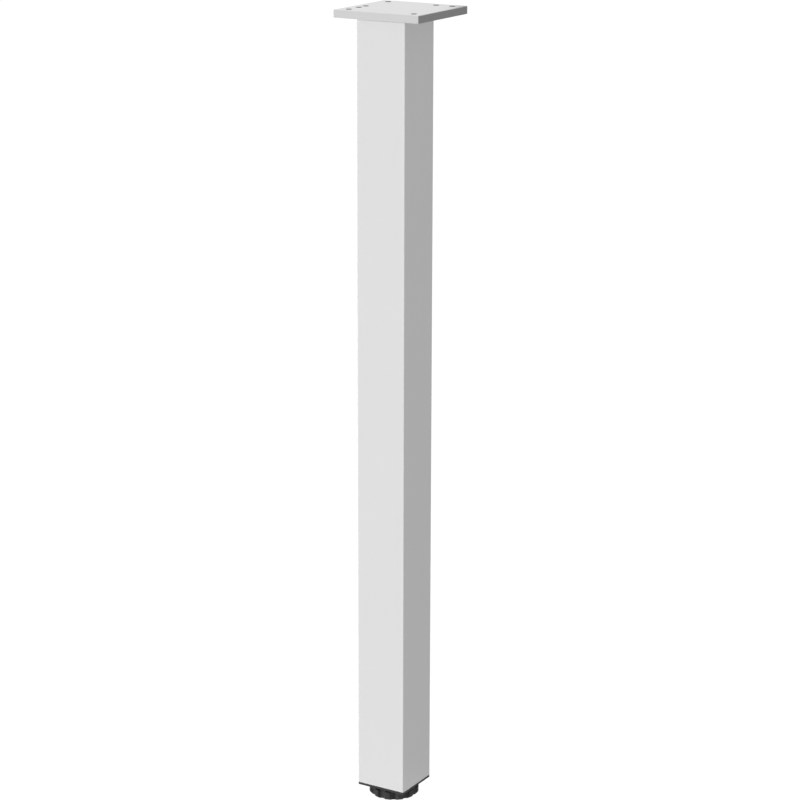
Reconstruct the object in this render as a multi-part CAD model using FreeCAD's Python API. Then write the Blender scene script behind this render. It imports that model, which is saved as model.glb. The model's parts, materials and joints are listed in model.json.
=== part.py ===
import FreeCAD, Part
import os
from math import acos, cos, degrees, radians, sin, tan

# Square metal table leg: a coated tube, a cast screw plate on top, a plug and a levelling foot below.
# Millimetres. The origin is on the floor, on the tube's axis, with +Z up and the foot screwed fully in.

# Tube
overall_height = 900.0       # floor to the top of the plate
tube_side = 60.0
tube_wall = 1.5
tube_corner_radius = 1.0     # outside

# Screw plate, cast in one piece with the spigot that holds it in the tube
plate_side = 104.0
plate_thickness = 8.5
plate_corner_radius = 1.0
plate_edge_break = 0.5
plate_shift_x = 4.2          # plate's centre from the tube's axis
plate_shift_y = 4.2
plate_skin = 3.5             # over the cored underside
plate_rim = 5.5              # round the cored underside
plate_rib = 3.0
seat_margin = 2.0            # the tube's seat stands out this far past the tube
screw_hole_diameter = 6.5
screw_boss_wall = 3.5        # round each screw hole
screw_spacing = 80.0         # square of the four corner holes
side_hole_step = 20.0        # from a corner hole to the hole beside it
third_hole_step = 34.0       # from the same corner hole to the next one on the X- side
spigot_depth = 40.0
spigot_wall = 4.0
spigot_fit = 0.05            # each side, inside the tube
spigot_lead_in = 1.5
spigot_corner_radius = 2.5   # more than the lead-in

# Plug in the tube's lower end
flange_thickness = 3.0
flange_edge_break = 0.4
sleeve_depth = 30.0
sleeve_wall = 2.2
lip_count = 3
lip_reach = 0.8              # lips stand out this far from the sleeve
lip_height = 3.0
lip_fit = 0.05               # each side, inside the tube
lip_corner_radius = 1.5
boss_height = 20.0           # above the flange
boss_wall = 3.2              # around the nut's corners
web_thickness = 2.0

# Nut and spindle, metric 10
spindle_diameter = 10.0
thread_clearance = 0.05      # each side, in the nut
spindle_end_chamfer = 1.0
spindle_spare = 4.0          # thread left above the nut when the foot is fully out
foot_travel = 20.0
nut_across_flats = 17.0
nut_height = 8.0
nut_corner_chamfer = 1.0
nut_fit = 0.05               # each side, in its pocket
nut_recess = 0.2             # nut's underside above the flange's underside
boss_bore_clearance = 0.5    # each side, above the nut

# Foot
foot_diameter = 57.5         # over the lobes
foot_height = 12.2
foot_gap = 0.4               # below the flange
foot_edge_break = 0.8        # on the rim's upper edge
lobe_edge_break = 2.5        # off the lobes' lower corners
lobe_count = 12
lobe_tip = 6.0               # width of a lobe's tip between two scallops
lobe_corner_radius = 1.2
scallop_depth = 4.0
dome_rise = 2.3              # hub's top above the lobed rim
dome_land = 0.6              # flat between the rim's broken edge and the dome
rim_wall = 3.0               # behind the deepest point of a scallop
top_skin = 2.6               # over the hollow underside
rib_thickness = 1.6
hub_wall = 3.6
head_diameter = 18.0         # spindle's head, held inside the hub
head_height = 4.0
head_floor = 2.4             # under the head
head_fit = 0.05              # all round the head and the spindle inside the hub

# Heights
flange_bottom = foot_height + foot_gap
tube_bottom = flange_bottom + flange_thickness
tube_top = overall_height - plate_thickness
core_top = overall_height - plate_skin
nut_bottom = flange_bottom + nut_recess
nut_top = nut_bottom + nut_height
rim_height = foot_height - dome_rise
head_bottom = head_floor + head_fit

# Widths
tube_inside = tube_side - 2 * tube_wall
spindle_radius = spindle_diameter / 2
foot_radius = foot_diameter / 2
scallop_floor_radius = foot_radius - scallop_depth
hub_radius = head_diameter / 2 + head_fit + hub_wall

UP = FreeCAD.Vector(0, 0, 1)


def at(x, y, z):
    return FreeCAD.Vector(x, y, z)


def turned(point, angle):
    return FreeCAD.Rotation(UP, angle).multVec(point)


def polar(radius, angle, z):
    return turned(at(radius, 0, z), angle)


def line(start, end):
    return Part.LineSegment(start, end).toShape()


def arc(start, middle, end):
    return Part.Arc(start, middle, end).toShape()


def rounded_square(side, corner_radius, z):
    """Closed wire of a square round the axis, its corners rounded where there is a radius."""
    half = side / 2
    if corner_radius <= 0:
        corners = [turned(at(half, half, z), 90 * quarter) for quarter in range(4)]
        return Part.makePolygon(corners + corners[:1])
    inner = half - corner_radius
    bulge = inner + corner_radius * cos(radians(45))
    edges = []
    for quarter in range(4):
        low, high, middle, end = [
            turned(at(x, y, z), 90 * quarter)
            for x, y in ((half, -inner), (half, inner), (bulge, bulge), (inner, half))
        ]
        edges.append(line(low, high))
        edges.append(arc(high, middle, end))
    return Part.Wire(edges)


def prism(wire, height):
    return Part.Face(wire).extrude(UP * height)


def square_prism(side, corner_radius, bottom, top):
    return prism(rounded_square(side, corner_radius, bottom), top - bottom)


def cylinder(diameter, bottom, top, x=0, y=0):
    return Part.makeCylinder(diameter / 2, top - bottom, at(x, y, bottom))


def hexagon_prism(across_flats, bottom, top):
    corners = [polar(across_flats / 2 / cos(radians(30)), 60 * k, bottom) for k in range(6)]
    return prism(Part.makePolygon(corners + corners[:1]), top - bottom)


def revolved(outline):
    """Solid of revolution about the axis from (radius, height) points."""
    points = [at(radius, 0, z) for radius, z in outline]
    return Part.Face(Part.makePolygon(points + points[:1])).revolve(at(0, 0, 0), UP, 360)


def level_edges(shape, *heights):
    """Edges that lie flat at one of the given heights."""
    chosen = []
    for edge in shape.Edges:
        box = edge.BoundBox
        if any(max(abs(box.ZMin - z), abs(box.ZMax - z)) < 1e-6 for z in heights):
            chosen.append(edge)
    return chosen


def screw_hole_centres():
    """Centres of the corner holes and the three side holes, from the tube's axis."""
    reach = screw_spacing / 2
    centres = [(-reach, -reach), (reach, -reach), (reach, reach), (-reach, reach)]
    centres.append((-reach, -reach + side_hole_step))
    centres.append((-reach, -reach + third_hole_step))
    centres.append((reach - side_hole_step, reach))
    return [(x + plate_shift_x, y + plate_shift_y) for x, y in centres]


def make_tube():
    outside = square_prism(tube_side, tube_corner_radius, tube_bottom, tube_top)
    inside = square_prism(tube_inside, tube_corner_radius - tube_wall, tube_bottom, tube_top)
    return outside.cut(inside)


def plate_cores():
    """Pockets in the plate's underside, between its rim, the tube's seat, the ribs and the screw bosses."""
    seat_side = tube_side + 2 * seat_margin
    cores = square_prism(plate_side - 2 * plate_rim, plate_corner_radius, tube_top, core_top)
    cores.translate(at(plate_shift_x, plate_shift_y, 0))
    cores = cores.cut(square_prism(seat_side, 0, tube_top, core_top))
    # Ribs run on from the middle and the two edges of each side of the seat
    edge_rib = (seat_side - plate_rib) / 2
    for place in (-edge_rib, 0, edge_rib):
        rib = Part.makeBox(2 * plate_side, plate_rib, core_top - tube_top)
        rib.translate(at(-plate_side, place - plate_rib / 2, tube_top))
        cores = cores.cut(rib)
        rib.rotate(at(0, 0, 0), UP, 90)
        cores = cores.cut(rib)
    boss_diameter = screw_hole_diameter + 2 * screw_boss_wall
    for x, y in screw_hole_centres():
        cores = cores.cut(cylinder(boss_diameter, tube_top, core_top, x, y))
    return cores


def make_plate():
    plate = square_prism(plate_side, plate_corner_radius, tube_top, overall_height)
    plate = plate.makeChamfer(plate_edge_break, level_edges(plate, tube_top, overall_height))
    plate.translate(at(plate_shift_x, plate_shift_y, 0))
    plate = plate.cut(plate_cores())
    for x, y in screw_hole_centres():
        plate = plate.cut(cylinder(screw_hole_diameter, tube_top, overall_height, x, y))
    spigot_side = tube_inside - 2 * spigot_fit
    spigot_bottom = tube_top - spigot_depth
    spigot = square_prism(spigot_side, spigot_corner_radius, spigot_bottom, tube_top)
    spigot = spigot.makeChamfer(spigot_lead_in, level_edges(spigot, spigot_bottom))
    hollow = square_prism(spigot_side - 2 * spigot_wall, spigot_corner_radius, spigot_bottom, core_top)
    return plate.fuse(spigot).cut(hollow).removeSplitter()


def make_plug():
    flange = square_prism(tube_side, tube_corner_radius, flange_bottom, tube_bottom)
    flange = flange.makeChamfer(flange_edge_break, level_edges(flange, flange_bottom))
    lip_side = tube_inside - 2 * lip_fit
    sleeve_side = lip_side - 2 * lip_reach
    sleeve_inside = sleeve_side - 2 * sleeve_wall
    sleeve_top = tube_bottom + sleeve_depth
    boss_top = tube_bottom + boss_height
    boss_diameter = nut_across_flats / cos(radians(30)) + 2 * boss_wall

    sleeve = square_prism(sleeve_side, lip_corner_radius, tube_bottom, sleeve_top)
    sleeve = sleeve.cut(square_prism(sleeve_inside, lip_corner_radius, tube_bottom, sleeve_top))
    # Lips narrow upwards, the way the plug is pushed in
    lip_pitch = sleeve_depth / lip_count
    for k in range(lip_count):
        bottom = tube_bottom + lip_pitch * (k + 0.5) - lip_height / 2
        wide = rounded_square(lip_side, lip_corner_radius, bottom)
        narrow = rounded_square(sleeve_side, lip_corner_radius, bottom + lip_height)
        lip = Part.makeLoft([wide, narrow], True, True)
        lip_inside = square_prism(sleeve_inside, lip_corner_radius, bottom, bottom + lip_height)
        sleeve = sleeve.fuse(lip.cut(lip_inside))
    plug = flange.fuse(sleeve).fuse(cylinder(boss_diameter, tube_bottom, boss_top))
    # A cross of webs ties the boss to the sleeve
    web_length = sleeve_side - sleeve_wall
    for length_x, length_y in ((web_length, web_thickness), (web_thickness, web_length)):
        corner = at(-length_x / 2, -length_y / 2, tube_bottom)
        plug = plug.fuse(Part.makeBox(length_x, length_y, boss_height, corner))
    pocket = hexagon_prism(nut_across_flats + 2 * nut_fit, flange_bottom, nut_top)
    bore = cylinder(spindle_diameter + 2 * boss_bore_clearance, flange_bottom, boss_top)
    return plug.removeSplitter().cut(pocket.fuse(bore))


def make_nut():
    hexagon = hexagon_prism(nut_across_flats, nut_bottom, nut_top)
    corner_radius = nut_across_flats / 2 / cos(radians(30))
    face_radius = corner_radius - nut_corner_chamfer
    drop = nut_corner_chamfer * tan(radians(30))
    rounded = revolved([
        (0, nut_bottom), (face_radius, nut_bottom), (corner_radius, nut_bottom + drop),
        (corner_radius, nut_top - drop), (face_radius, nut_top), (0, nut_top),
    ])
    thread = cylinder(spindle_diameter + 2 * thread_clearance, nut_bottom, nut_top)
    return hexagon.common(rounded).cut(thread)


def make_spindle():
    head_radius = head_diameter / 2
    head_top = head_bottom + head_height
    top = nut_top + foot_travel + spindle_spare
    return revolved([
        (0, head_bottom), (head_radius, head_bottom), (head_radius, head_top), (spindle_radius, head_top),
        (spindle_radius, top - spindle_end_chamfer), (spindle_radius - spindle_end_chamfer, top), (0, top),
    ])


def scalloped_outline(z):
    """Closed wire of tangent arcs: lobe tips on the foot's circle, rounded corners and hollow scallops."""
    pitch = 360 / lobe_count
    half_scallop = radians(pitch / 2) - lobe_tip / foot_diameter
    half_chord = foot_radius * sin(half_scallop)
    rise = foot_radius * cos(half_scallop) - scallop_floor_radius
    scallop_radius = (half_chord ** 2 + rise ** 2) / (2 * rise)
    scallop_centre = scallop_floor_radius + scallop_radius
    # The corner's circle touches the foot's circle from inside and the scallop's from outside
    corner_centre = foot_radius - lobe_corner_radius
    between = scallop_radius + lobe_corner_radius
    spread = (corner_centre ** 2 + scallop_centre ** 2 - between ** 2) / (2 * corner_centre * scallop_centre)
    corner_angle = degrees(acos(spread))
    edges = []
    for k in range(lobe_count):
        angle = pitch * k
        scallop = polar(scallop_centre, angle, z)
        touch = {}
        tip = {}
        corner = {}
        for side in (-1, 1):
            corner[side] = polar(corner_centre, angle + side * corner_angle, z)
            touch[side] = scallop + (corner[side] - scallop) * (scallop_radius / between)
            tip[side] = polar(foot_radius, angle + side * corner_angle, z)
        edges.append(rounded_corner(tip[-1], touch[-1], corner[-1]))
        edges.append(arc(touch[-1], polar(scallop_floor_radius, angle, z), touch[1]))
        edges.append(rounded_corner(touch[1], tip[1], corner[1]))
        next_tip = polar(foot_radius, angle + pitch - corner_angle, z)
        edges.append(arc(tip[1], polar(foot_radius, angle + pitch / 2, z), next_tip))
    return Part.Wire(edges)


def rounded_corner(start, end, centre):
    outward = (start - centre) + (end - centre)
    outward.normalize()
    return arc(start, centre + outward * lobe_corner_radius, end)


def make_foot():
    rim = prism(scalloped_outline(0), rim_height)
    rim = rim.makeChamfer(foot_edge_break, level_edges(rim, rim_height))
    # A cone takes the lower corner off each lobe
    cone_radius = foot_radius - lobe_edge_break
    cone = revolved([(0, 0), (cone_radius, 0), (cone_radius + rim_height, rim_height), (0, rim_height)])
    dome_radius = scallop_floor_radius - foot_edge_break - dome_land
    dome = revolved([(0, rim_height), (dome_radius, rim_height), (hub_radius, foot_height), (0, foot_height)])
    foot = rim.common(cone).fuse(dome).removeSplitter()
    # Hollow underside between hub and rim, crossed by a rib behind each lobe
    hollow_top = rim_height - top_skin
    hollow = cylinder(2 * (scallop_floor_radius - rim_wall), 0, hollow_top)
    hollow = hollow.cut(cylinder(2 * hub_radius, 0, hollow_top))
    pitch = 360 / lobe_count
    for k in range(lobe_count):
        rib = Part.makeBox(foot_radius, rib_thickness, hollow_top, at(0, -rib_thickness / 2, 0))
        rib.rotate(at(0, 0, 0), UP, pitch * (k + 0.5))
        hollow = hollow.cut(rib)
    head_room = cylinder(head_diameter + 2 * head_fit, head_floor, head_floor + head_height + 2 * head_fit)
    spindle_room = cylinder(spindle_diameter + 2 * head_fit, head_floor, foot_height)
    return foot.cut(hollow).cut(head_room.fuse(spindle_room))


pieces = {
    "leg_tube": make_tube(),
    "top_plate": make_plate(),
    "end_plug": make_plug(),
    "spindle_nut": make_nut(),
    "foot_spindle": make_spindle(),
    "foot_base": make_foot(),
}

os.makedirs("parts", exist_ok=True)
for name, shape in pieces.items():
    shape.exportStep(f"parts/{name}.step")
    print(name, "solids", len(shape.Solids), "valid", shape.isValid(), "volume", round(shape.Volume, 1))
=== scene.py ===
import json
import math
import bpy
import numpy as np
from mathutils import Matrix, Vector


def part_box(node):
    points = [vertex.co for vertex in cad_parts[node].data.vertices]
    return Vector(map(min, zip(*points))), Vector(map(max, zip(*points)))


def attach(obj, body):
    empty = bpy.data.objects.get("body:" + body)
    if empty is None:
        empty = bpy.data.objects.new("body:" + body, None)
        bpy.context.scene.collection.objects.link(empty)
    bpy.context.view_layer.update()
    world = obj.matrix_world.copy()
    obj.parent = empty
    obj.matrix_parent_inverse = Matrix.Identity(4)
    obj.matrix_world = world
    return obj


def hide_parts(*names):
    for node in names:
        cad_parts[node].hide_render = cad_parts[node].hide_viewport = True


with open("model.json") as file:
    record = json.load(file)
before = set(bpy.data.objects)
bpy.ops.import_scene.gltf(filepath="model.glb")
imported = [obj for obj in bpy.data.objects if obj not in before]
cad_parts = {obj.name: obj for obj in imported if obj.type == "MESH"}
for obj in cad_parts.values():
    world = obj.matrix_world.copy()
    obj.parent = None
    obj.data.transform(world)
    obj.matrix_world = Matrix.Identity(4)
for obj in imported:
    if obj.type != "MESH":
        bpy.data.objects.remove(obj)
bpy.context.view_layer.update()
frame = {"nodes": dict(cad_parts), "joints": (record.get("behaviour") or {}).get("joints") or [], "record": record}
nodes = frame["nodes"]
joints = {joint["name"]: joint for joint in frame["joints"]}
mounts = {mount["name"]: mount for mount in frame["record"]["mounts"]}
mm = 0.001  # the mounts give their sizes in millimetres, the scene is in metres
print("leg frame loaded:", sorted(nodes))


# helpers for node trees
def addNode(tree, kind, x, y, **settings):
    node = tree.nodes.new(kind)
    node.location = (x, y)
    for name, value in settings.items():
        setattr(node, name, value)
    return node


def plug(tree, value, socket):
    # a number or vector goes on the socket, an output is linked to it
    if isinstance(value, bpy.types.NodeSocket):
        tree.links.new(value, socket)
    else:
        socket.default_value = value


def mathNode(tree, operation, first, second, x, y, clamp=False):
    node = addNode(tree, "ShaderNodeMath", x, y, operation=operation, use_clamp=clamp)
    plug(tree, first, node.inputs[0])
    plug(tree, second, node.inputs[1])
    return node.outputs[0]


def mixColour(tree, factor, low, high, x, y):
    # a Mix node has its two colours on inputs 6 and 7, and their mix on output 2
    node = addNode(tree, "ShaderNodeMix", x, y, data_type="RGBA")
    plug(tree, factor, node.inputs[0])
    plug(tree, low, node.inputs[6])
    plug(tree, high, node.inputs[7])
    return node.outputs[2]


def mixValue(tree, factor, low, high, x, y):
    # a Mix node has its two numbers on inputs 2 and 3, and their mix on output 0
    node = addNode(tree, "ShaderNodeMix", x, y, data_type="FLOAT")
    plug(tree, factor, node.inputs[0])
    plug(tree, low, node.inputs[2])
    plug(tree, high, node.inputs[3])
    return node.outputs[0]


def grey(level):
    return (level, level, level, 1.0)


def mixGrey(tree, factor, levels, x, y):
    return mixColour(tree, factor, grey(levels[0]), grey(levels[1]), x, y)


number, vector = "NodeSocketFloat", "NodeSocketVector"  # kinds of socket in the groups


def newGroup(name, inputs, outputs):
    tree = bpy.data.node_groups.new(name, "ShaderNodeTree")
    for label, kind, default in inputs:
        socket = tree.interface.new_socket(label, in_out="INPUT", socket_type=kind)
        if default is not None:
            socket.default_value = default
    for label in outputs:
        tree.interface.new_socket(label, in_out="OUTPUT", socket_type=number)
    return tree, addNode(tree, "NodeGroupInput", -900, 0), addNode(tree, "NodeGroupOutput", 600, 0)


# fine grain and a slow drift of tone, both noise on the vector, and a blend of the two
surfaceGrain = {
    "grainScale": 900.0, "grainDetail": 3.0, "driftScale": 9.0, "driftDetail": 2.0, "driftShare": 0.3,
}


def makeGrainGroup():
    p = surfaceGrain
    tree, source, sink = newGroup(
        "surfaceGrain",
        [("Vector", vector, None), ("Grain Scale", number, p["grainScale"]),
         ("Drift Scale", number, p["driftScale"]), ("Drift Share", number, p["driftShare"])],
        ["Grain", "Drift", "Blend"])
    heights = {}
    for label, detail, y in (("Grain", p["grainDetail"], 200), ("Drift", p["driftDetail"], -100)):
        noise = addNode(tree, "ShaderNodeTexNoise", -500, y)
        noise.inputs["Detail"].default_value = detail
        plug(tree, source.outputs["Vector"], noise.inputs["Vector"])
        plug(tree, source.outputs[label + " Scale"], noise.inputs["Scale"])
        heights[label] = noise.outputs["Fac"]
        plug(tree, heights[label], sink.inputs[label])
    blend = mixValue(tree, source.outputs["Drift Share"], heights["Grain"], heights["Drift"], -100, 0)
    plug(tree, blend, sink.inputs["Blend"])
    return tree


# corner lines of an upright square block: 1 on the line, falling to 0 over Width
squareCorner = {"halfSide": 0.03, "width": 0.002}


def makeCornerGroup():
    p = squareCorner
    tree, source, sink = newGroup(
        "squareCorner",
        [("Vector", vector, None), ("Half Side", number, p["halfSide"]), ("Width", number, p["width"])],
        ["Mask"])
    split = addNode(tree, "ShaderNodeSeparateXYZ", -700, 0)
    plug(tree, source.outputs["Vector"], split.inputs[0])
    across = mathNode(tree, "ABSOLUTE", split.outputs["X"], 0.0, -500, 120)
    along = mathNode(tree, "ABSOLUTE", split.outputs["Y"], 0.0, -500, -120)
    nearer = mathNode(tree, "MINIMUM", across, along, -300, 0)
    inset = mathNode(tree, "SUBTRACT", source.outputs["Half Side"], nearer, -100, 0)
    share = mathNode(tree, "DIVIDE", inset, source.outputs["Width"], 100, 0)
    plug(tree, mathNode(tree, "SUBTRACT", 1.0, share, 300, 0, clamp=True), sink.inputs["Mask"])
    return tree


# wall of an upright hole: 1 inside Radius, falling to 0 over Fade
boreWall = {"radius": 0.003, "fade": 0.0004}


def makeBoreGroup():
    p = boreWall
    tree, source, sink = newGroup(
        "boreWall",
        [("Vector", vector, None), ("Centre", vector, (0.0, 0.0, 0.0)),
         ("Radius", number, p["radius"]), ("Fade", number, p["fade"])],
        ["Mask"])
    away = addNode(tree, "ShaderNodeVectorMath", -700, 0, operation="SUBTRACT")
    plug(tree, source.outputs["Vector"], away.inputs[0])
    plug(tree, source.outputs["Centre"], away.inputs[1])
    level = addNode(tree, "ShaderNodeVectorMath", -500, 0, operation="MULTIPLY")
    plug(tree, away.outputs[0], level.inputs[0])
    plug(tree, (1.0, 1.0, 0.0), level.inputs[1])
    length = addNode(tree, "ShaderNodeVectorMath", -300, 0, operation="LENGTH")
    plug(tree, level.outputs[0], length.inputs[0])
    beyond = mathNode(tree, "SUBTRACT", length.outputs["Value"], source.outputs["Radius"], -100, 0)
    share = mathNode(tree, "DIVIDE", beyond, source.outputs["Fade"], 100, 0)
    plug(tree, mathNode(tree, "SUBTRACT", 1.0, share, 300, 0, clamp=True), sink.inputs["Mask"])
    return tree


grainGroup = makeGrainGroup()
cornerGroup = makeCornerGroup()
boreGroup = makeBoreGroup()


def placeGroup(tree, group, x, y, **values):
    node = addNode(tree, "ShaderNodeGroup", x, y, node_tree=group)
    for label, value in values.items():
        plug(tree, value, node.inputs[label.replace("_", " ")])
    return node


def startMaterial(name):
    material = bpy.data.materials.new(name)
    material.use_nodes = True
    tree = material.node_tree
    tree.nodes.clear()
    output = addNode(tree, "ShaderNodeOutputMaterial", 700, 0)
    shader = addNode(tree, "ShaderNodeBsdfPrincipled", 400, 0)
    plug(tree, shader.outputs["BSDF"], output.inputs["Surface"])
    coords = addNode(tree, "ShaderNodeTexCoord", -1200, 0)
    return material, tree, shader, coords.outputs["Object"]


def addBump(tree, shader, height, strength, distance):
    node = addNode(tree, "ShaderNodeBump", 100, -300)
    plug(tree, strength, node.inputs["Strength"])
    plug(tree, distance, node.inputs["Distance"])
    plug(tree, height, node.inputs["Height"])
    plug(tree, node.outputs["Normal"], shader.inputs["Normal"])


# satin powder coat of the tube: even light grey with fine orange peel, and a painted highlight that makes it a
# little paler on the corners
powderCoat = {
    "tone": (0.757, 0.777), "cornerHighlightTone": 0.79, "cornerWidth": 0.0025,
    "roughness": (0.45, 0.55), "specular": 0.4,
    "peelScale": 1000.0, "peelStrength": 0.7, "peelHeight": 0.0002, "driftScale": 6.0, "driftShare": 0.5,
}


def makePowderCoat():
    p = powderCoat
    material, tree, shader, coords = startMaterial("powderCoat")
    grain = placeGroup(tree, grainGroup, -800, 0, Vector=coords, Grain_Scale=p["peelScale"],
                       Drift_Scale=p["driftScale"], Drift_Share=p["driftShare"])
    low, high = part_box("leg_tube")
    corner = placeGroup(tree, cornerGroup, -800, -300, Vector=coords, Half_Side=(high.x - low.x) / 2,
                        Width=p["cornerWidth"])
    tone = mixGrey(tree, grain.outputs["Drift"], p["tone"], -300, 200)
    # painted highlight: the corner lines are paler in the base colour
    tone = mixColour(tree, corner.outputs["Mask"], tone, grey(p["cornerHighlightTone"]), 0, 200)
    plug(tree, tone, shader.inputs["Base Color"])
    rough = mixValue(tree, grain.outputs["Blend"], *p["roughness"], -300, 0)
    plug(tree, rough, shader.inputs["Roughness"])
    plug(tree, p["specular"], shader.inputs["Specular IOR Level"])
    addBump(tree, shader, grain.outputs["Grain"], p["peelStrength"], p["peelHeight"])
    return material


# die-cast screw plate: top ground bright in lines along X, edges and underside as cast, hole walls painted near
# black as the shade inside the holes
castPlate = {
    "castTone": (0.655, 0.715), "groundTone": (0.64, 0.76), "boreShadeTone": 0.03, "groundDepth": 0.0003,
    "castRoughness": (0.36, 0.46), "groundRoughness": (0.26, 0.42), "boreRoughness": 0.75, "metallic": 1.0,
    "grainScale": 1400.0, "grainStrength": 0.4, "grainHeight": 0.00005,
    "driftScale": 25.0, "driftShare": 0.45, "lineScale": 1500.0, "lineStretch": (0.03, 1.0, 1.0),
}


def screwHoleCentres():
    # corner pattern, the pair on one side and the single hole, as the frame's mounts state them
    corners, pair, single = (mounts[name] for name in ("top_screws", "side_screws", "edge_screw"))
    halfX, halfY = (corners["dims"][key] * mm / 2 for key in ("spacing_x_mm", "spacing_y_mm"))
    x, y, _ = corners["pos_m"]
    centres = [(x + sx * halfX, y + sy * halfY, 0.0) for sx in (-1, 1) for sy in (-1, 1)]
    x, y, _ = pair["pos_m"]
    halfPair = pair["dims"]["spacing_y_mm"] * mm / 2
    centres += [(x, y - halfPair, 0.0), (x, y + halfPair, 0.0)]
    x, y, _ = single["pos_m"]
    return centres + [(x, y, 0.0)]


def makeCastPlate():
    p = castPlate
    material, tree, shader, coords = startMaterial("castPlate")
    grain = placeGroup(tree, grainGroup, -800, 0, Vector=coords, Grain_Scale=p["grainScale"],
                       Drift_Scale=p["driftScale"], Drift_Share=p["driftShare"])
    stretch = addNode(tree, "ShaderNodeMapping", -1000, 550)
    plug(tree, coords, stretch.inputs["Vector"])
    plug(tree, p["lineStretch"], stretch.inputs["Scale"])
    lines = placeGroup(tree, grainGroup, -800, 550, Vector=stretch.outputs["Vector"],
                       Grain_Scale=p["lineScale"])
    # ground face: 1 on the plate's top, 0 from groundDepth below it
    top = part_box("top_plate")[1].z
    split = addNode(tree, "ShaderNodeSeparateXYZ", -900, 300)
    plug(tree, coords, split.inputs[0])
    height = mathNode(tree, "SUBTRACT", split.outputs["Z"], top - p["groundDepth"], -700, 300)
    ground = mathNode(tree, "DIVIDE", height, p["groundDepth"] / 2, -500, 300, clamp=True)
    # hole walls, painted dark for the shade inside the holes: the largest of the seven masks
    bore = 0.0
    radius = mounts["edge_screw"]["dims"]["r_mm"] * mm
    for index, centre in enumerate(screwHoleCentres()):
        y = -300 - 200 * index
        wall = placeGroup(tree, boreGroup, -900, y, Vector=coords, Centre=centre, Radius=radius)
        bore = mathNode(tree, "MAXIMUM", wall.outputs["Mask"], bore, -600, y)
    cast = mixGrey(tree, grain.outputs["Blend"], p["castTone"], -300, 300)
    lined = mixGrey(tree, lines.outputs["Grain"], p["groundTone"], -300, 100)
    tone = mixColour(tree, ground, cast, lined, -100, 200)
    plug(tree, mixColour(tree, bore, tone, grey(p["boreShadeTone"]), 100, 200), shader.inputs["Base Color"])
    cast = mixValue(tree, grain.outputs["Blend"], *p["castRoughness"], -300, -100)
    lined = mixValue(tree, lines.outputs["Grain"], *p["groundRoughness"], -300, -250)
    rough = mixValue(tree, ground, cast, lined, -100, -100)
    plug(tree, mixValue(tree, bore, rough, p["boreRoughness"], 100, -100), shader.inputs["Roughness"])
    plug(tree, p["metallic"], shader.inputs["Metallic"])
    relief = mixValue(tree, ground, grain.outputs["Grain"], lines.outputs["Grain"], -100, -400)
    addBump(tree, shader, relief, p["grainStrength"], p["grainHeight"])
    return material


# one grain over a tone and a roughness range, for the plastic and the plated pieces
def makeGrained(name, p):
    material, tree, shader, coords = startMaterial(name)
    grain = placeGroup(tree, grainGroup, -800, 0, Vector=coords, Grain_Scale=p["grainScale"],
                       Drift_Scale=p["driftScale"], Drift_Share=p["driftShare"])
    low, high = ((*colour, 1.0) for colour in p["tone"])
    plug(tree, mixColour(tree, grain.outputs["Blend"], low, high, -200, 200), shader.inputs["Base Color"])
    rough = mixValue(tree, grain.outputs["Blend"], *p["roughness"], -200, 0)
    plug(tree, rough, shader.inputs["Roughness"])
    plug(tree, p["metallic"], shader.inputs["Metallic"])
    plug(tree, p["specular"], shader.inputs["Specular IOR Level"])
    addBump(tree, shader, grain.outputs["Grain"], p["grainStrength"], p["grainHeight"])
    return material


# moulded black plastic of plug and foot, with a fine spark-eroded grain
mouldedPlastic = {
    "tone": ((0.034, 0.034, 0.034), (0.058, 0.058, 0.059)), "roughness": (0.55, 0.70),
    "metallic": 0.0, "specular": 0.25, "driftScale": 40.0, "driftShare": 0.35,
    "grainScale": 2200.0, "grainStrength": 0.6, "grainHeight": 0.0001,
}

# zinc plating of spindle and nut
zincPlating = {
    "tone": ((0.52, 0.53, 0.54), (0.68, 0.69, 0.70)), "roughness": (0.22, 0.38),
    "metallic": 1.0, "specular": 0.5, "driftScale": 60.0, "driftShare": 0.5,
    "grainScale": 1100.0, "grainStrength": 0.15, "grainHeight": 0.00001,
}


def dress(piece, material):
    piece.data.materials.clear()
    piece.data.materials.append(material)


plasticMaterial = makeGrained("mouldedPlastic", mouldedPlastic)
zincMaterial = makeGrained("zincPlating", zincPlating)
dress(nodes["leg_tube"], makePowderCoat())
dress(nodes["top_plate"], makeCastPlate())
dress(nodes["end_plug"], plasticMaterial)
dress(nodes["foot_base"], plasticMaterial)
dress(nodes["spindle_nut"], zincMaterial)
print("finishes placed")


# spindle with its rolled thread, in the place of the plain CAD spindle
threadedSpindle = {
    "pitch": 0.0015, "depth": 0.00092, "endChamfer": 0.001, "shankRadius": 0.005, "headHeight": 0.004,
    "aroundSteps": 64, "rowsPerPitch": 10,
}


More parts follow.
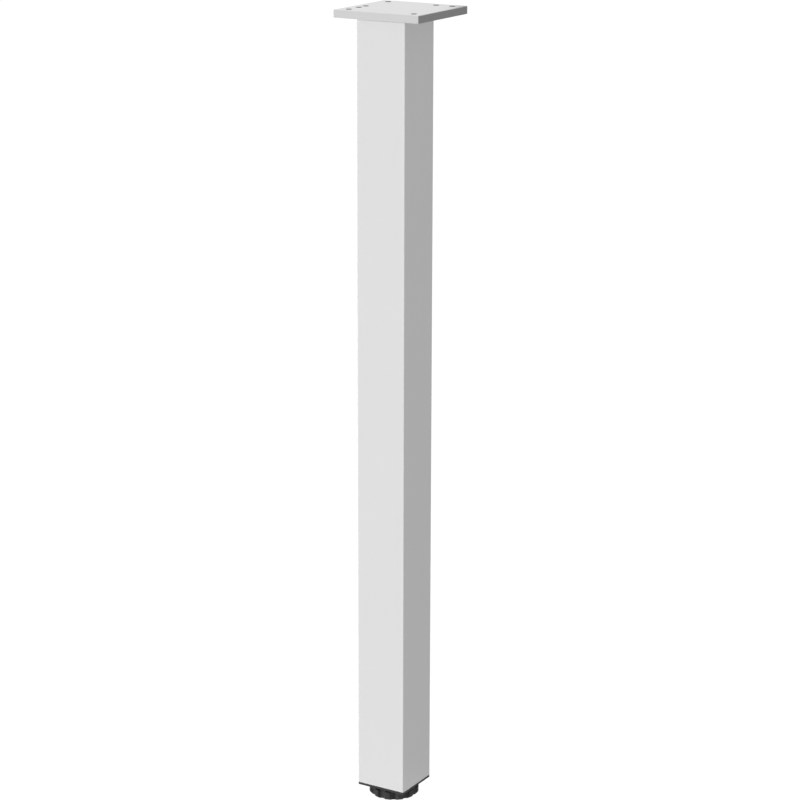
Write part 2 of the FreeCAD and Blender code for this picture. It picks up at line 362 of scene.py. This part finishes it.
def makeSpindle():
    p = threadedSpindle
    low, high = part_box("foot_spindle")
    headRadius = high.x
    shoulder = low.z + p["headHeight"]
    rows = int((high.z - shoulder) / p["pitch"] * p["rowsPerPitch"])
    z = np.linspace(shoulder, high.z, rows)[:, None]
    turn = np.linspace(0, 2 * np.pi, p["aroundSteps"], endpoint=False)[None, :]
    # right-hand V thread: the shank's radius less the depth times a zigzag from 1 to 0 and back, which runs
    # once in each pitch of height and climbs a pitch in each turn, cut off at the end by the chamfer's cone
    zigzag = np.abs(2 * np.mod(z / p["pitch"] - turn / (2 * np.pi), 1.0) - 1)
    cone = p["shankRadius"] - np.maximum(z - (high.z - p["endChamfer"]), 0)
    shank = np.minimum(p["shankRadius"] - p["depth"] * zigzag, cone)
    headRings = np.array([(headRadius, low.z), (headRadius, shoulder)])
    radius = np.vstack([np.repeat(headRings[:, :1], p["aroundSteps"], axis=1), shank])
    level = np.broadcast_to(np.vstack([headRings[:, 1:], z]), radius.shape)
    grid = np.stack([radius * np.cos(turn), radius * np.sin(turn), level], axis=-1)
    points = np.vstack([grid.reshape(-1, 3), [(0, 0, low.z), (0, 0, high.z)]])
    # quads between neighbouring rings, and a fan of triangles to the middle of each end
    index = np.arange(radius.size).reshape(radius.shape)
    following = np.roll(index, -1, axis=1)
    quads = np.stack([index[:-1], following[:-1], following[1:], index[1:]], axis=-1).reshape(-1, 4)
    bottom = np.stack([following[0], index[0], np.full(p["aroundSteps"], radius.size)], axis=-1)
    top = np.stack([index[-1], following[-1], np.full(p["aroundSteps"], radius.size + 1)], axis=-1)
    mesh = bpy.data.meshes.new("threadedSpindle")
    mesh.from_pydata(points.tolist(), [], quads.tolist() + bottom.tolist() + top.tolist())
    spindle = bpy.data.objects.new("threadedSpindle", mesh)
    bpy.context.collection.objects.link(spindle)
    dress(spindle, zincMaterial)
    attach(spindle, "spindle")
    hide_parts("foot_spindle")


makeSpindle()
print("threaded spindle placed")


def addQuad(name, corners):
    mesh = bpy.data.meshes.new(name)
    mesh.from_pydata(corners, [], [(0, 1, 2, 3)])
    quad = bpy.data.objects.new(name, mesh)
    bpy.context.collection.objects.link(quad)
    return quad


def seenDirectly(tree):
    # 1 where the camera, a reflection or a clear piece shows it, 0 for the light that it gives off
    path = addNode(tree, "ShaderNodeLightPath", -900, 400)
    camera, gloss, clear = (path.outputs[f"Is {kind} Ray"] for kind in ("Camera", "Glossy", "Transmission"))
    seen = mathNode(tree, "MAXIMUM", camera, gloss, -700, 400)
    return mathNode(tree, "MAXIMUM", seen, clear, -500, 400)


def mixShaders(tree, factor, first, second, output):
    pick = addNode(tree, "ShaderNodeMixShader", 300, 0)
    plug(tree, factor, pick.inputs[0])
    plug(tree, first.outputs[0], pick.inputs[1])
    plug(tree, second.outputs[0], pick.inputs[2])
    plug(tree, pick.outputs[0], output.inputs["Surface"])


# white ground: a pale floor for the light, shown as near white with the leg's faint shadow on it, and set
# down by the foot's travel so that the foot stays in sight when it is screwed out
stageFloor = {"half": 15.0, "level": 0.80, "whiteLevel": 0.95, "shadowShare": 0.25}


def makeFloor():
    p = stageFloor
    half = p["half"]
    drop = joints["spindle_travel"]["range_m"][1]
    corners = [(x * half, y * half, -drop) for x, y in ((-1, -1), (1, -1), (1, 1), (-1, 1))]
    floor = addQuad("floor", corners)
    material = bpy.data.materials.new("floorWhite")
    material.use_nodes = True
    tree = material.node_tree
    tree.nodes.clear()
    output = addNode(tree, "ShaderNodeOutputMaterial", 700, 0)
    lit = addNode(tree, "ShaderNodeBsdfDiffuse", -250, 0)
    plug(tree, grey(p["level"]), lit.inputs["Color"])
    faint = addNode(tree, "ShaderNodeBsdfDiffuse", -250, -150)
    plug(tree, grey(p["level"] * p["shadowShare"]), faint.inputs["Color"])
    glow = addNode(tree, "ShaderNodeEmission", -250, -300)
    plug(tree, p["whiteLevel"], glow.inputs["Strength"])
    ground = addNode(tree, "ShaderNodeAddShader", 0, -200)
    plug(tree, faint.outputs[0], ground.inputs[0])
    plug(tree, glow.outputs[0], ground.inputs[1])
    mixShaders(tree, seenDirectly(tree), lit, ground, output)
    dress(floor, material)


# camera at the photograph's place, from the edges of tube and plate
photoView = {
    "azimuth": 31.08, "distance": 2.678, "height": 1.2143, "aimHeight": 0.4685, "aimToRight": 0.0058,
    "roll": 0.125, "lens": 113.1, "sensor": 36.0,
}


def makeCamera():
    p = photoView
    turn = math.radians(p["azimuth"])
    place = Vector((p["distance"] * math.sin(turn), -p["distance"] * math.cos(turn), p["height"]))
    aim = Vector((p["aimToRight"] * math.cos(turn), p["aimToRight"] * math.sin(turn), p["aimHeight"]))
    data = bpy.data.cameras.new("photoCamera")
    data.lens = p["lens"]
    data.sensor_width = p["sensor"]
    camera = bpy.data.objects.new("photoCamera", data)
    look = (aim - place).to_track_quat("-Z", "Y").to_matrix().to_4x4()
    roll = Matrix.Rotation(math.radians(p["roll"]), 4, "Z")
    camera.matrix_world = Matrix.Translation(place) @ look @ roll
    bpy.context.collection.objects.link(camera)
    bpy.context.scene.camera = camera


# dim glowing flag behind on the right, which only reflections show: a painted reflection, its own fixed glow gives
# the plate its dark edge, and its foot stands nearer than its head so that the tube's right side stays even down
# to the floor
darkFlag = {
    "footDistance": 0.09, "headDistance": 0.26, "halfWidth": 0.30, "bottom": -0.01, "top": 1.05,
    "level": 0.25,
}


def makeFlag():
    p = darkFlag
    turn = math.radians(photoView["azimuth"])
    toFlag = Vector((math.sin(turn), math.cos(turn), 0))
    aside = Vector((toFlag.y, -toFlag.x, 0)) * p["halfWidth"]
    foot = toFlag * p["footDistance"] + Vector((0, 0, p["bottom"]))
    head = toFlag * p["headDistance"] + Vector((0, 0, p["top"]))
    flag = addQuad("darkFlag", [foot - aside, foot + aside, head + aside, head - aside])
    # the flag lights itself with a fixed glow, so the dark reflection it paints does not follow the lamps
    material, tree, shader, _ = startMaterial("flagGlow")
    plug(tree, grey(0.0), shader.inputs["Base Color"])
    plug(tree, 0.0, shader.inputs["Specular IOR Level"])
    plug(tree, grey(1.0), shader.inputs["Emission Color"])
    plug(tree, p["level"], shader.inputs["Emission Strength"])
    dress(flag, material)
    flag.visible_camera = False
    flag.visible_diffuse = False
    flag.visible_shadow = False


# flat studio light: a dim even sky and a broad, low lamp for each side of the tube that the camera sees
studioLight = {
    "sky": 0.30,
    "leftLamp": {"strength": 2.51, "spread": 10.0, "from": (-0.50, -0.72, 0.085)},
    "rightLamp": {"strength": 0.72, "spread": 10.0, "from": (1.0, 0.0, 0.095)},
}


def makeLamp(name, p):
    lamp = bpy.data.lights.new(name, "SUN")
    lamp.energy = p["strength"]
    lamp.angle = math.radians(p["spread"])
    holder = bpy.data.objects.new(name, lamp)
    holder.rotation_euler = Vector(p["from"]).to_track_quat("Z", "Y").to_euler()
    holder.visible_glossy = False
    bpy.context.collection.objects.link(holder)


def makeLight():
    world = bpy.data.worlds.new("studioSky")
    bpy.context.scene.world = world
    world.use_nodes = True
    tree = world.node_tree
    tree.nodes.clear()
    output = addNode(tree, "ShaderNodeOutputWorld", 500, 0)
    sky = addNode(tree, "ShaderNodeBackground", -100, 0)
    plug(tree, studioLight["sky"], sky.inputs["Strength"])
    white = addNode(tree, "ShaderNodeBackground", -100, -150)
    for node in (sky, white):
        plug(tree, grey(1.0), node.inputs["Color"])
    mixShaders(tree, seenDirectly(tree), sky, white, output)
    for name in ("leftLamp", "rightLamp"):
        makeLamp(name, studioLight[name])


makeFloor()
makeFlag()
makeLight()
makeCamera()
bpy.context.scene.view_settings.view_transform = "Standard"
print("stage, light and camera placed")
